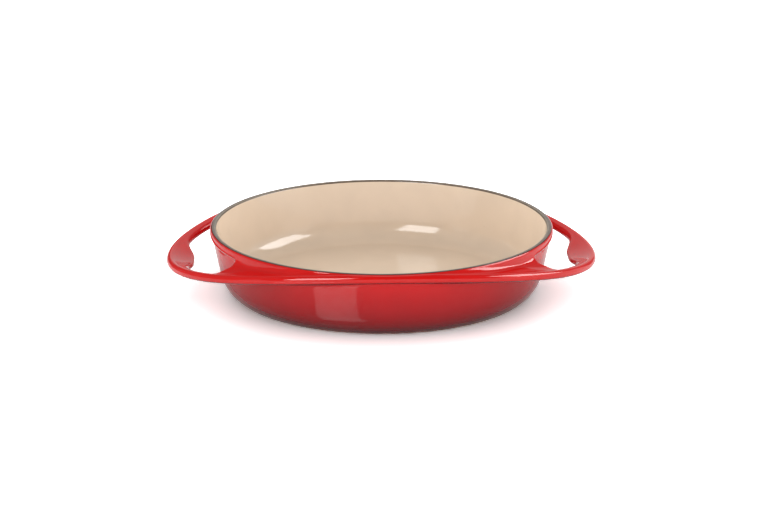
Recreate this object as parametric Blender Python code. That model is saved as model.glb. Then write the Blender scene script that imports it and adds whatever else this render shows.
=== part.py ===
"""Tarte tatin dish: a shallow round iron casting with two loop handles, under fused enamel coats.

The handles run along X, and the dish stands on Z = 0 with its axis on Z. One closed skin is lofted
round the axis, from sections that follow the bowl, the rim and the belt that swells out of the
collar into the handles. The casting and each coat are then peeled off that one skin, layer by layer.
"""

import math

import bmesh
import bpy
import numpy as np
from mathutils import Vector

# Bowl
HEIGHT = 0.0510  # foot to the top of the rim
RIM_RADIUS = 0.1300  # outside of the rim
RIM_WIDTH = 0.0050
WALL = 0.0047
FLOOR = 0.0046
DRAFT = math.radians(12.0)  # lean of the wall
CORNER_RADIUS = 0.0250  # outside, from the wall to the foot
CORNER_RADIUS_INSIDE = 0.0180
FOOT_ANGLE = math.radians(59.0)  # how far the corner has turned where it meets the foot
FOOT_EDGE = 0.0009  # rounding between the corner and the flat foot

# Rim and collar
RIM_EDGE_OUTSIDE = 0.0015
RIM_EDGE_INSIDE = 0.0012
COLLAR_HEIGHT = 0.0062
COLLAR_STEP = 0.0013  # height of the soft step back to the wall

# Belt, which runs round the dish and reaches out into the handles
BELT_PROUD = 0.0023  # beyond the rim, midway between the handles
BELT_DROP = 0.0036  # from the rim's top to the belt's middle, midway between the handles
HANDLE_REACH = 0.0332  # beyond the rim, at the handles' tips
HANDLE_DROP = 0.0212  # how much lower the tips lie than the belt's middle
OUTER_EDGE = 0.0034  # rounding radius of the belt's outer edge
BELT_TILT = math.radians(5.5)  # inner edge lower than the outer
ARM_WIDTH = 0.0097
ARM_INNER_EDGE = 0.0030  # rounding radius of the arms' inner edge
PAD_WIDTH = 0.0214  # where the thumb rests
PAD_INNER_EDGE = 0.0019
PAD_TILT = math.radians(8.3)
PAD_SPREAD = 0.0291  # half the pad's length along the handle
PAD_SQUARE = 3  # how square the pad's outline is, 2 being a bell
PAD_DISH = 0.0010
WINDOW_ANGLE = math.radians(32.4)  # half the angle that a handle's opening takes
WINDOW_CORNER = math.radians(3.4)  # angle over which its end rounds off
WEB_SLOPE = 0.15  # rise of the web from the belt's top in to the collar, over its width
WEB_ROUND = 0.0030  # rounding between the web and the collar
WEB_END = math.radians(5.0)  # how far beside an opening the web climbs to the collar's foot
WEB_FILLET = 0.0045  # under the belt
LEAST_SWEEP = 0.0016  # run from the rim's rounding to the belt's where the two nearly meet

# Coats
COAT = 0.0005
CLEARANCE = 0.0003  # between the coats and the casting
SEAM = 0.0004  # between two coats
COATS = ("outside", "inside", "rim", "foot", None)  # None is a seam, bare of every coat
NEARLY_FLAT = 0.12  # a fold gentler than this share of a right angle's sinks as one plane

# Lofted sections in one quarter, from the handle's middle
PAD_SECTIONS = (0.0, 0.36, 0.62, 0.8, 0.94, 1.08, 1.22, 1.42)  # shares of the pad's half angle
ARM_SECTIONS = 3
CORNER_SECTIONS = 3
CORNER_CROWDING = 1.26  # above 1, sections crowd towards the opening's end
WEB_SECTIONS = 6
WEB_CROWDING = 1.25

# Rows down a section
ARC_ROWS = 4  # spans in each large rounding
SWEEP_SHARES = (0.2, 0.42, 0.72)  # along the sweep from the collar to the belt
FILLET_SHARES = (0.3, 0.6, 0.85)  # along the fillet under the belt
WALL_ROWS = 5
NOSE_TURNS = (90, 150, 210, 270)  # degrees round a handle's inner edge
LIP_SEAM_TURNS = (155, 125)  # degrees round the rim's inner edge: the sand coat's end, the grey's start
BORDER_ABOVE_FOOT = 2.2  # foot edge roundings between the red coat's end and the foot

# How the sweep and the fillet are drawn
SWEEP_START = 0.3  # least distance below the rim's top, over the rim's rounding
SWEEP_PULL = 0.3  # reach of its two tangents, over its width
SWEEP_FALL = 0.75  # how steeply it leaves the collar at most, over its drop
FILLET_PULL = 0.7
FILLET_SHARE = 0.35  # most of the wall below the belt that the fillet takes
STEP_PLACE = 0.45  # how far in the collar's step has turned halfway down it
STEP_SWELL = 0.3  # and how far it swells out there, over its height
ON_EDGE = 1e-9

SHARP_ANGLE = math.radians(50.0)

# sRGB colours
RED = (0.80, 0.07, 0.08)
SAND = (0.87, 0.76, 0.66)
GREY = (0.42, 0.38, 0.35)
IRON = (0.30, 0.30, 0.31)


def mix(a, b, share):
    return tuple(p + (q - p) * share for p, q in zip(a, b))


def on_circle(centre, radius, angle):
    """Point of a section at an angle up from the outward direction."""
    return (centre[0] + radius * math.cos(angle), centre[1] + radius * math.sin(angle))


def bezier(start, start_handle, end_handle, end, share):
    a, b, c = (
        mix(start, start_handle, share),
        mix(start_handle, end_handle, share),
        mix(end_handle, end, share),
    )
    return mix(mix(a, b, share), mix(b, c, share), share)


def wall_inside(z):
    return RIM_RADIUS - RIM_WIDTH - (HEIGHT - z) * math.tan(DRAFT)


def wall_outside(z):
    return wall_inside(z) + WALL / math.cos(DRAFT)


def inside_rows():
    """Section of the bowl's inside and its rim, from the middle of the floor out to the rim's edge."""
    radius = CORNER_RADIUS_INSIDE
    middle = FLOOR + radius
    centre = (wall_inside(middle) - radius / math.cos(DRAFT), middle)
    rows = [((0.0, FLOOR), "inside")]
    for step in range(ARC_ROWS + 1):
        angle = -math.pi / 2 + (math.pi / 2 - DRAFT) * step / ARC_ROWS
        rows.append((on_circle(centre, radius, angle), "inside"))
    lip = (RIM_RADIUS - RIM_WIDTH + RIM_EDGE_INSIDE, HEIGHT - RIM_EDGE_INSIDE)
    top = RIM_RADIUS - RIM_EDGE_OUTSIDE
    rows += [
        (on_circle(lip, RIM_EDGE_INSIDE, math.pi), "inside"),
        (on_circle(lip, RIM_EDGE_INSIDE, math.radians(LIP_SEAM_TURNS[0])), None),
        (on_circle(lip, RIM_EDGE_INSIDE, math.radians(LIP_SEAM_TURNS[1])), "rim"),
        ((lip[0] + SEAM, HEIGHT), "rim"),
        ((top - SEAM, HEIGHT), None),
        ((top, HEIGHT), "outside"),
    ]
    return rows


def foot_rows():
    """Section of the bowl's outside corner and its foot, from the wall in to the axis."""
    radius = CORNER_RADIUS
    middle = radius * math.sin(FOOT_ANGLE)
    centre = (wall_outside(middle) - radius / math.cos(DRAFT), middle)
    border = FOOT_ANGLE - BORDER_ABOVE_FOOT * FOOT_EDGE / radius
    rows = []
    for step in range(ARC_ROWS + 1):
        angle = DRAFT + (border - DRAFT) * step / ARC_ROWS
        rows.append((on_circle(centre, radius, -angle), "outside"))
    rows[-1] = (rows[-1][0], None)
    foot = centre[0] + radius * math.cos(FOOT_ANGLE)
    rows += [
        (on_circle(centre, radius, -border - SEAM / radius), "foot"),
        ((foot - FOOT_EDGE, 0.0), "foot"),
        ((0.0, 0.0), "foot"),
    ]
    return rows


def belt_at(angle):
    """The belt in the upright section at this angle: its outer centre, slant, width and inner edge."""
    across = RIM_RADIUS + HANDLE_REACH
    along = RIM_RADIUS + BELT_PROUD
    reach = 1 / math.hypot(math.cos(angle) / across, math.sin(angle) / along)
    x = reach * math.cos(angle)
    y = reach * math.sin(angle)
    slant = reach * math.hypot(x / across**2, y / along**2)
    height = HEIGHT - BELT_DROP - HANDLE_DROP * (x / across) ** 2
    pad = math.exp(-((y / PAD_SPREAD) ** PAD_SQUARE))
    return {
        "centre": (reach - OUTER_EDGE * slant, height),
        "slant": slant,
        "width": ARM_WIDTH + (PAD_WIDTH - ARM_WIDTH) * pad,
        "inner_edge": ARM_INNER_EDGE + (PAD_INNER_EDGE - ARM_INNER_EDGE) * pad,
        "tilt": BELT_TILT + (PAD_TILT - BELT_TILT) * pad,
        "dish": PAD_DISH * pad,
    }


def outer_edge(belt, top_angle):
    """The belt's rounded outer edge, from its top round to its underside."""
    bottom_angle = -math.pi / 2
    edge = []
    for step in range(ARC_ROWS + 1):
        r, z = on_circle((0, 0), OUTER_EDGE, top_angle + (bottom_angle - top_angle) * step / ARC_ROWS)
        edge.append((belt["centre"][0] + r * belt["slant"], belt["centre"][1] + z))
    return edge


def solid_section(angle):
    """Rows where the belt is one with the wall: the collar and sweep above, the belt, the fillet below."""
    belt = belt_at(angle)
    r, z = belt["centre"]
    collar_low = HEIGHT - COLLAR_HEIGHT + COLLAR_STEP
    rim_shoulder = HEIGHT - RIM_EDGE_OUTSIDE
    reach = r + OUTER_EDGE * belt["slant"] - RIM_RADIUS
    meets = z + OUTER_EDGE - max(0.0, r - RIM_RADIUS) * math.tan(BELT_TILT)
    highest = HEIGHT - SWEEP_START * RIM_EDGE_OUTSIDE
    start_z = min(highest, meets + WEB_SLOPE * reach + WEB_ROUND)
    beside = math.exp(-((max(0.0, angle - WINDOW_ANGLE) / WEB_END) ** 2))
    start_z += max(0.0, collar_low - start_z) * beside
    turn = math.asin(max(0.0, start_z - rim_shoulder) / RIM_EDGE_OUTSIDE)
    start = (RIM_RADIUS - RIM_EDGE_OUTSIDE * (1 - math.cos(turn)), start_z)
    clear = start[0] + LEAST_SWEEP - r
    lean = max(-BELT_TILT, math.asin(max(-1.0, clear / OUTER_EDGE / belt["slant"])))
    edge = outer_edge(belt, math.pi / 2 - lean)
    end = edge[0]
    drop = max(0.0, start[1] - end[1])
    pull = SWEEP_PULL * (end[0] - start[0])
    fall = min(WEB_ROUND, SWEEP_FALL * drop)
    start_handle = (start[0] + pull * math.sin(turn), start[1] - fall * math.cos(turn))
    end_handle = (end[0] - pull * math.cos(lean), end[1] + pull * math.sin(lean))
    sweep = [bezier(start, start_handle, end_handle, end, share) for share in SWEEP_SHARES]
    under = edge[-1]
    plain_wall = under[1] - CORNER_RADIUS * math.sin(FOOT_ANGLE)
    fillet = min(WEB_FILLET, FILLET_SHARE * plain_wall)
    low_z = under[1] - fillet
    low = (wall_outside(low_z), low_z)
    corner = (wall_outside(under[1]), under[1])
    handles = (mix(under, corner, FILLET_PULL), mix(low, corner, FILLET_PULL))
    hollow = [bezier(under, *handles, low, share) for share in FILLET_SHARES]
    shoulder_turn = (math.pi / 2 + turn) / 2
    shoulder = on_circle((RIM_RADIUS - RIM_EDGE_OUTSIDE, rim_shoulder), RIM_EDGE_OUTSIDE, shoulder_turn)
    return {
        "upper": [shoulder, start, sweep[0], sweep[1]],
        "belt": [sweep[1], sweep[2], *edge, hollow[0], hollow[1]],
        "lower": [hollow[1], hollow[2], low],
        "end": [mix(sweep[1], hollow[1], share) for share in (1 / 3, 2 / 3)],
    }


def open_section(angle):
    """Rows across a handle's opening: the plain collar and wall, and the handle's own closed section."""
    belt = belt_at(angle)
    r, z = belt["centre"]
    edge = outer_edge(belt, math.pi / 2 + belt["tilt"])
    run = belt["width"] - OUTER_EDGE - belt["inner_edge"]
    inner = (r - run * belt["slant"], z - run * math.tan(belt["tilt"]))
    nose = []
    for turn in NOSE_TURNS:
        nr, nz = on_circle((0, 0), belt["inner_edge"], math.radians(turn))
        nose.append((inner[0] + nr * belt["slant"], inner[1] + nz))
    top_r, top_z = mix(edge[0], nose[0], 0.5)
    shoulder = on_circle(
        (RIM_RADIUS - RIM_EDGE_OUTSIDE, HEIGHT - RIM_EDGE_OUTSIDE), RIM_EDGE_OUTSIDE, math.pi / 4
    )
    step_top = HEIGHT - COLLAR_HEIGHT + COLLAR_STEP
    step_low = HEIGHT - COLLAR_HEIGHT
    end_z = belt_at(WINDOW_ANGLE)["centre"][1] - OUTER_EDGE - WEB_FILLET
    fall = (end_z - step_low) / WALL_ROWS
    wall = [(wall_outside(step_low + fall * k), step_low + fall * k) for k in range(WALL_ROWS + 1)]
    step_in = mix((RIM_RADIUS, step_top), wall[0], STEP_PLACE)[0]
    step = (step_in + STEP_SWELL * COLLAR_STEP, (step_top + step_low) / 2)
    return {
        "upper": [shoulder, (RIM_RADIUS, step_top), step, wall[0]],
        "wall": [wall[1], wall[2]],
        "lower": [wall[3], wall[4], wall[5]],
        "belt": [nose[0], (top_r, top_z - belt["dish"]), *edge, mix(edge[-1], nose[3], 0.5), nose[3]],
        "nose": [nose[1], nose[2]],
    }


def section(angle):
    """All the rows at one angle round the axis, folded into the first quarter."""
    folded = abs(math.remainder(angle, math.pi))
    if folded >= WINDOW_ANGLE - ON_EDGE:
        rows = solid_section(folded)
        rows["wall"] = rows["end"]
        rows["nose"] = rows["end"]
        rows["solid"] = True
        return rows
    rows = open_section(folded)
    rows["solid"] = False
    share = (WINDOW_ANGLE - folded) / WINDOW_CORNER
    if share < 1:
        opened = math.sqrt(1 - (1 - share) ** 2)
        solid = solid_section(folded)
        for name in ("upper", "lower", "belt"):
            rows[name] = [mix(p, q, opened) for p, q in zip(solid[name], rows[name])]
        for name in ("wall", "nose"):
            rows[name] = [mix(p, q, opened) for p, q in zip(solid["end"], rows[name])]
    return rows


def section_angles():
    """Close together at the ends of the handles' openings, further apart elsewhere."""
    pad = math.asin(PAD_SPREAD / (RIM_RADIUS + HANDLE_REACH))
    quarter = [pad * share for share in PAD_SECTIONS]
    straight = WINDOW_ANGLE - WINDOW_CORNER
    quarter += [mix((quarter[-1],), (straight,), k / ARM_SECTIONS)[0] for k in range(1, ARM_SECTIONS)]
    quarter += [WINDOW_ANGLE - WINDOW_CORNER * (1 - k / CORNER_SECTIONS) ** CORNER_CROWDING
                for k in range(CORNER_SECTIONS + 1)]
    rest = math.pi / 2 - WINDOW_ANGLE
    quarter += [WINDOW_ANGLE + rest * ((k + 1) / WEB_SECTIONS) ** WEB_CROWDING
                for k in range(WEB_SECTIONS)]
    half = quarter + [math.pi - angle for angle in reversed(quarter[1:-1])]
    return half + [math.pi + angle for angle in half]


class Skin:
    """The dish's closed outer surface, with the name of the coat that lies under each face."""

    def __init__(self):
        self.mesh = bmesh.new()
        self.coats = {}
        self.poles = {}

    def point(self, angle, row):
        r, z = row
        if r > 0:
            return self.mesh.verts.new((r * math.cos(angle), r * math.sin(angle), z))
        if z not in self.poles:
            self.poles[z] = self.mesh.verts.new((0, 0, z))
        return self.poles[z]

    def strip(self, left, right, coat):
        """Triangles between the same rows of two neighbouring sections, cut along the shorter diagonal."""
        for a, b, c, d in zip(left, left[1:], right[1:], right):
            across = (a.co - c.co).length < (b.co - d.co).length
            for corners in ((a, b, c), (a, c, d)) if across else ((a, b, d), (b, c, d)):
                if len(set(corners)) == 3:
                    face = self.mesh.faces.new(corners)
                    self.coats[face] = coat


def loft():
    """Joins the sections into one closed skin. At an opening the strips part round the gap."""
    skin = Skin()
    inside = inside_rows()
    foot = foot_rows()
    sections = []
    for angle in section_angles():
        rows = section(angle)
        placed = {name: [skin.point(angle, row) for row in rows[name]] for name in ("upper", "lower")}
        placed["inside"] = [skin.point(angle, row) for row, coat in inside]
        placed["foot"] = [skin.point(angle, row) for row, coat in foot]
        middle = [skin.point(angle, row) for row in rows["belt"][1:-1]]
        if rows["solid"]:
            ends = [placed["upper"][-1], placed["lower"][0]]
            placed["wall"] = None
        else:
            ends = [skin.point(angle, rows["belt"][0]), skin.point(angle, rows["belt"][-1])]
            placed["wall"] = [skin.point(angle, row) for row in rows["wall"]]
            placed["nose"] = [skin.point(angle, row) for row in rows["nose"]]
        placed["belt"] = [ends[0], *middle, ends[1]]
        placed["angle"] = angle
        placed["rows"] = rows
        sections.append(placed)
    for left, right in zip(sections, sections[1:] + sections[:1]):
        for this, other in ((left, right), (right, left)):
            if this["rows"]["solid"] and not other["rows"]["solid"]:
                end = [skin.point(this["angle"], row) for row in this["rows"]["wall"]]
                this["wall"] = end
                this["nose"] = end
        for index, (row, coat) in enumerate(inside[:-1]):
            skin.strip(left["inside"][index:index + 2], right["inside"][index:index + 2], coat)
        skin.strip(left["inside"][-1:] + left["upper"], right["inside"][-1:] + right["upper"], "outside")
        skin.strip(left["belt"], right["belt"], "outside")
        skin.strip(left["lower"] + left["foot"][:1], right["lower"] + right["foot"][:1], "outside")
        for index, (row, coat) in enumerate(foot[:-1]):
            skin.strip(left["foot"][index:index + 2], right["foot"][index:index + 2], coat)
        if not (left["rows"]["solid"] and right["rows"]["solid"]):
            walls = [[s["upper"][-1], *s["wall"], s["lower"][0]] for s in (left, right)]
            noses = [[s["belt"][-1], *reversed(s["nose"]), s["belt"][0]] for s in (left, right)]
            skin.strip(walls[0], walls[1], "outside")
            skin.strip(noses[0], noses[1], "outside")
    bmesh.ops.recalc_face_normals(skin.mesh, faces=skin.mesh.faces[:])
    skin.mesh.normal_update()
    return skin


def sinking(vert):
    """How a point moves, for a depth of 1, so that each face round it is pushed in by that depth."""
    shares = np.sqrt([loop.calc_angle() for loop in vert.link_loops])
    planes = np.array([loop.face.normal for loop in vert.link_loops])
    move = np.linalg.lstsq(planes * shares[:, None], -shares, rcond=NEARLY_FLAT)[0]
    return Vector(move)


def peel(skin, name, coats, depth, thickness):
    """A closed body from the faces under these coats, sunk by a depth, with an inner face if it is thin."""
    body = bmesh.new()
    kept = [face for face in skin.mesh.faces if skin.coats[face] in coats]
    outer = {}
    inner = {}
    for face in kept:
        for vert in face.verts:
            if vert not in outer:
                move = sinking(vert)
                outer[vert] = body.verts.new(vert.co + move * depth)
                if thickness:
                    inner[vert] = body.verts.new(vert.co + move * (depth + thickness))
    for face in kept:
        body.faces.new([outer[vert] for vert in face.verts])
        if thickness:
            body.faces.new([inner[vert] for vert in reversed(face.verts)])
    kept = set(kept)
    for edge in skin.mesh.edges:
        beside = [loop for loop in edge.link_loops if loop.face in kept]
        if thickness and len(beside) == 1:
            a = beside[0].vert
            b = edge.other_vert(a)
            body.faces.new((outer[b], outer[a], inner[a]))
            body.faces.new((outer[b], inner[a], inner[b]))
    mesh = bpy.data.meshes.new(name)
    body.to_mesh(mesh)
    body.free()
    mesh.shade_smooth()
    mesh.set_sharp_from_angle(angle=SHARP_ANGLE)
    made = bpy.data.objects.new(name, mesh)
    bpy.context.scene.collection.objects.link(made)
    return made


def material(name, colour, roughness, metallic=0.0, coat=0.0):
    made = bpy.data.materials.new(name)
    made.use_nodes = True
    made.diffuse_color = (*colour, 1.0)
    shader = made.node_tree.nodes["Principled BSDF"]
    linear = [c / 12.92 if c <= 0.04045 else ((c + 0.055) / 1.055) ** 2.4 for c in colour]
    shader.inputs["Base Color"].default_value = (*linear, 1.0)
    shader.inputs["Roughness"].default_value = roughness
    shader.inputs["Metallic"].default_value = metallic
    shader.inputs["Coat Weight"].default_value = coat
    return made


def clear_scene():
    for thing in list(bpy.data.objects):
        bpy.data.objects.remove(thing, do_unlink=True)


def main():
    clear_scene()
    skin = loft()
    below = COAT + CLEARANCE
    pieces = [
        (peel(skin, "iron_casting", COATS, below, 0.0), material("cast_iron", IRON, 0.6, metallic=1.0)),
        (peel(skin, "outside_enamel", ("outside",), 0.0, COAT), material("red_enamel", RED, 0.12, coat=1.0)),
        (peel(skin, "inside_enamel", ("inside",), 0.0, COAT), material("sand_enamel", SAND, 0.15, coat=1.0)),
        (peel(skin, "rim_band", ("rim",), 0.0, COAT), material("rim_ground_coat", GREY, 0.4)),
        (peel(skin, "foot_coat", ("foot",), 0.0, COAT), material("foot_ground_coat", GREY, 0.5)),
    ]
    skin.mesh.free()
    dish = bpy.data.objects.new("dish", None)
    bpy.context.scene.collection.objects.link(dish)
    for piece, finish in pieces:
        piece.data.materials.append(finish)
        piece.parent = dish


main()
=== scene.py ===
"""Tarte tatin dish: the fine enamelled surfaces of the dish, and a plain white studio round it.

One cage of quads is lofted round the dish's axis and subdivided. The iron body and each coat of
enamel are then peeled off that one skin, so that neighbouring coats share their edges.
"""

import math

import bpy
import numpy as np
from bpy.props import FloatProperty, FloatVectorProperty, PointerProperty
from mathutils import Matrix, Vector


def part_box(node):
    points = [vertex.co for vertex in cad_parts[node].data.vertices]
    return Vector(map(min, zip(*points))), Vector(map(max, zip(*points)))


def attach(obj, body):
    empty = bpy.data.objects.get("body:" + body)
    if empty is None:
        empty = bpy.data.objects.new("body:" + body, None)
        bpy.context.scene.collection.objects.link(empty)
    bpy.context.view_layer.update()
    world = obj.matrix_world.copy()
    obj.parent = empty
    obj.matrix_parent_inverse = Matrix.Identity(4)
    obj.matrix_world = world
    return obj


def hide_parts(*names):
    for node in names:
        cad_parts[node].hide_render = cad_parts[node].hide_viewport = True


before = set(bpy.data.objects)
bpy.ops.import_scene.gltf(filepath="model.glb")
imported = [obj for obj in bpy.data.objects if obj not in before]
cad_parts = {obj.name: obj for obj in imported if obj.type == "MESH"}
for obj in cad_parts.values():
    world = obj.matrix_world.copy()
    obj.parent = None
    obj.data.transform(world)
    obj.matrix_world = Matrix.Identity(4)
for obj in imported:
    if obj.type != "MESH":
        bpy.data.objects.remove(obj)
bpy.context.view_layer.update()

bl_info = {
    "name": "Tarte Tatin Dish",
    "version": (1, 0, 0),
    "blender": (4, 5, 0),
    "location": "3D View > Sidebar > Tatin Dish",
    "description": "Builds the enamelled dish and its studio",
    "category": "Add Mesh",
}

SKIN = "dish_skin"

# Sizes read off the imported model
OUTSIDE_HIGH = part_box("outside_enamel")[1]
BESIDE_BAND = 0.0019  # from the grey band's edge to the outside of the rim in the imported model
RIM_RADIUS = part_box("rim_band")[1].x + BESIDE_BAND

# Layers of the skin, from the middle of the bowl over the rim and down to the foot
COATS = ("inside", "rim", "outside", "foot")
COAT_THICKNESS = 0.0005
IRON_GAP = 0.0001  # so that the iron and the coats share no surface

# Lofted sections in one quarter, from the handle's middle
PAD_SECTIONS = (0.0, 0.18, 0.36, 0.54, 0.7, 0.85, 1.0, 1.15, 1.3, 1.5)  # shares of the pad's half angle
ARM_SECTIONS = 4
CORNER_SECTIONS = 4
CORNER_CROWDING = 1.3  # above 1, towards the end of the opening
WEB_SECTIONS = 15
WEB_CROWDING = 1.15

# Rows down a section
FLOOR_RINGS = 4
WALL_RINGS = 4
ARC_ROWS = 8
SHOULDER_ROWS = 3
SWEEP_SHARES = (0.12, 0.26, 0.40, 0.55, 0.66, 0.77, 0.88)  # from the collar to the belt
SWEEP_SPLIT = 2  # the row of the sweep where a handle parts from the wall
FILLET_SHARES = (0.2, 0.4, 0.6, 0.75, 0.88)  # under the belt
FILLET_SPLIT = 2
EDGE_ROWS = 6
END_ROWS = 3
LIP_TURNS = (180, 162, 145)  # degrees round the rim's inner edge, up to the sand coat's end
LIP_TURNS_GREY = (128, 109, 90)
PAD_FALL = 3  # how square the pad is along the handle
BORDER_ABOVE_FOOT = 2.2  # of the foot's edge rounding, up to where the red coat ends
FOOT_EDGE_TURN = (0.3, 0.12)  # the middle of that rounding, in and up, as shares of it

# How the sweep and the fillet are drawn
SWEEP_START = 0.3  # of the rim's outer rounding, the least that the sweep begins below the top
SWEEP_PULL = 0.3  # of the sweep's width, how far out and in its handles reach
SWEEP_FALL = 0.75  # of its drop, the most that its upper handle falls
LEAST_SWEEP = 0.0016  # the least width of the sweep
FILLET_PULL = 0.7  # of the way to its corner, how far the fillet's handles reach
FILLET_SHARE = 0.35  # of the straight wall below the belt, the most that the fillet takes
STEP_PLACE = 0.45  # of the way in from the collar to the wall, the middle of the collar's step
STEP_SWELL = 0.3  # of the step's height, how far it swells out there
ON_EDGE = 1e-6  # radians, within which a section still stands at an opening's end

# Where the finishes change, in metres or as shares
WALL_FADE_TOP = 0.042  # the height at which the wall's red is full
WALL_FADE_MIDDLE = 0.5  # the share of it where the middle red lies
BELT_FADE = (-0.0022, 0.0006)  # outward from the rim, where the wall's red turns to the belt's
UNDERSIDE_PAINTED_SHADE = (-0.85, -0.45)  # of the surface's upward direction, where painted shade darkens what faces the table towards burgundy
RED_THINS = (0.0001, 0.0006)  # outward from the grey band, where the ground coat shows through
RED_THINS_TOP = (-0.0014, -0.0008)  # up from the rim's top, where it begins to
SAND_THINS = (-0.0013, -0.0008)  # up from the rim's top, where the ground coat comes to show through
SAND_GLOSS_GROWS = (0.0005, 0.006)  # up from the bowl's floor, where the bottom's dullness ends
RIM_STOPS = (0.16, 0.27, 0.36, 0.6, 0.85)  # across the grey band: grey, painted highlight, painted highlight, grey, grey
PAINTED_SHADOW_RING = (0.112, 0.16)  # round the dish's axis, over which the painted shadow beside the foot gives way and the paper comes to look white

# Where on the noise a cloud, a speck at no cover, or a change of gloss begins and where it is full
CLOUD = (0.35, 0.65)
SPECK = (0.78, 0.86)
HAZE = (0.3, 0.7)
HAZE_GLOSS = (0.85, 1.2)  # times the roughness

GLASS_IOR = 1.5
BOTTOM_ROUGHNESS = 0.13
SAND_ROUGHNESS = 0.09
FIRST_REFLECTION = 1.5  # a ray's depth, between its first reflection's and its second's
PAPER_WHITE = 0.92
STUDIO_FLOOR_HALF = 6.0
STUDIO_FLOOR_BELOW = 0.0001

SUBDIVISIONS = 2
SHARP_ANGLE = math.radians(50.0)

# Camera, fitted to the rim, the foot and the handles
IMAGE_SIZE = (765, 510)
FOCAL_PIXELS = 3296.9
RIM_CENTRE_PIXEL = (381.4, 224.54)
CAMERA_DISTANCE = 2.5
CAMERA_ELEVATION = math.radians(16.283)
CAMERA_TURN = math.radians(2.3)
SENSOR_WIDTH = 36.0

# As seen from the dish, in degrees: azimuth to the right of the camera, elevation, width, height, and for
# the softboxes whether they have a grid
SOFTBOXES = {
    "softbox_left": (-34.0, 38.7, 25.5, 33.0, False),
    "softbox_right": (97.0, 38.5, 40.0, 23.0, True),
}
BACKDROP = (180.0, 30.0, 100.0, 40.0)
BACKDROP_AWAY = 2.0  # times as far away as the softboxes
# The same for cloths that only reflections see, and how bright each glows, painting the studio's brighter and
# darker parts into the reflections
CLOTHS = {
    "cloth_front": (0.0, 47.0, 112.0, 68.0, 0.0),
    "cloth_left": (-112.0, 32.0, 84.0, 66.0, 0.2),
    "cloth_right": (96.0, 46.0, 84.0, 40.0, 0.1),
    "cloth_back_left": (-152.0, 31.0, 28.0, 62.0, 0.1),
    "cloth_back": (180.0, 32.0, 52.0, 58.0, 0.6),
    "cloth_back_right": (146.0, 30.0, 22.0, 60.0, 0.2),
    "cloth_top": (0.0, 90.0, 70.0, 70.0, 0.1),
}
CLOTH_DISTANCE = 2.2


def linear(code):
    """An sRGB hex colour as linear RGBA."""
    parts = [int(code[i:i + 2], 16) / 255 for i in (1, 3, 5)]
    return (*[c / 12.92 if c <= 0.04045 else ((c + 0.055) / 1.055) ** 2.4 for c in parts], 1.0)


WHITE = linear("#FFFFFF")
BLACK = linear("#000000")


def mix(a, b, share):
    """The point that lies this share of the way from a to b."""
    return tuple(p + (q - p) * share for p, q in zip(a, b))


def on_circle(centre, radius, angle):
    """Point of a section at an angle up from the outward direction."""
    return (centre[0] + radius * math.cos(angle), centre[1] + radius * math.sin(angle))


def bezier(start, start_handle, end_handle, end, share):
    """Point of a curve with two handles."""
    a = mix(start, start_handle, share)
    b = mix(start_handle, end_handle, share)
    c = mix(end_handle, end, share)
    return mix(mix(a, b, share), mix(b, c, share), share)


# The properties of the panel: plain numbers, lengths in metres, angles given in degrees and hex colours
def number(name, description, default):
    return FloatProperty(name=name, description=description, default=default, precision=3)


def length(name, description, default):
    return FloatProperty(name=name, description=description, default=default, unit="LENGTH", precision=5)


def angle_of(name, description, degrees):
    return FloatProperty(name=name, description=description, default=math.radians(degrees), subtype="ANGLE")


def colour(name, description, code):
    return FloatVectorProperty(name=name, description=description, default=linear(code)[:3], subtype="COLOR",
                               min=0.0, max=1.0)


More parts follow.
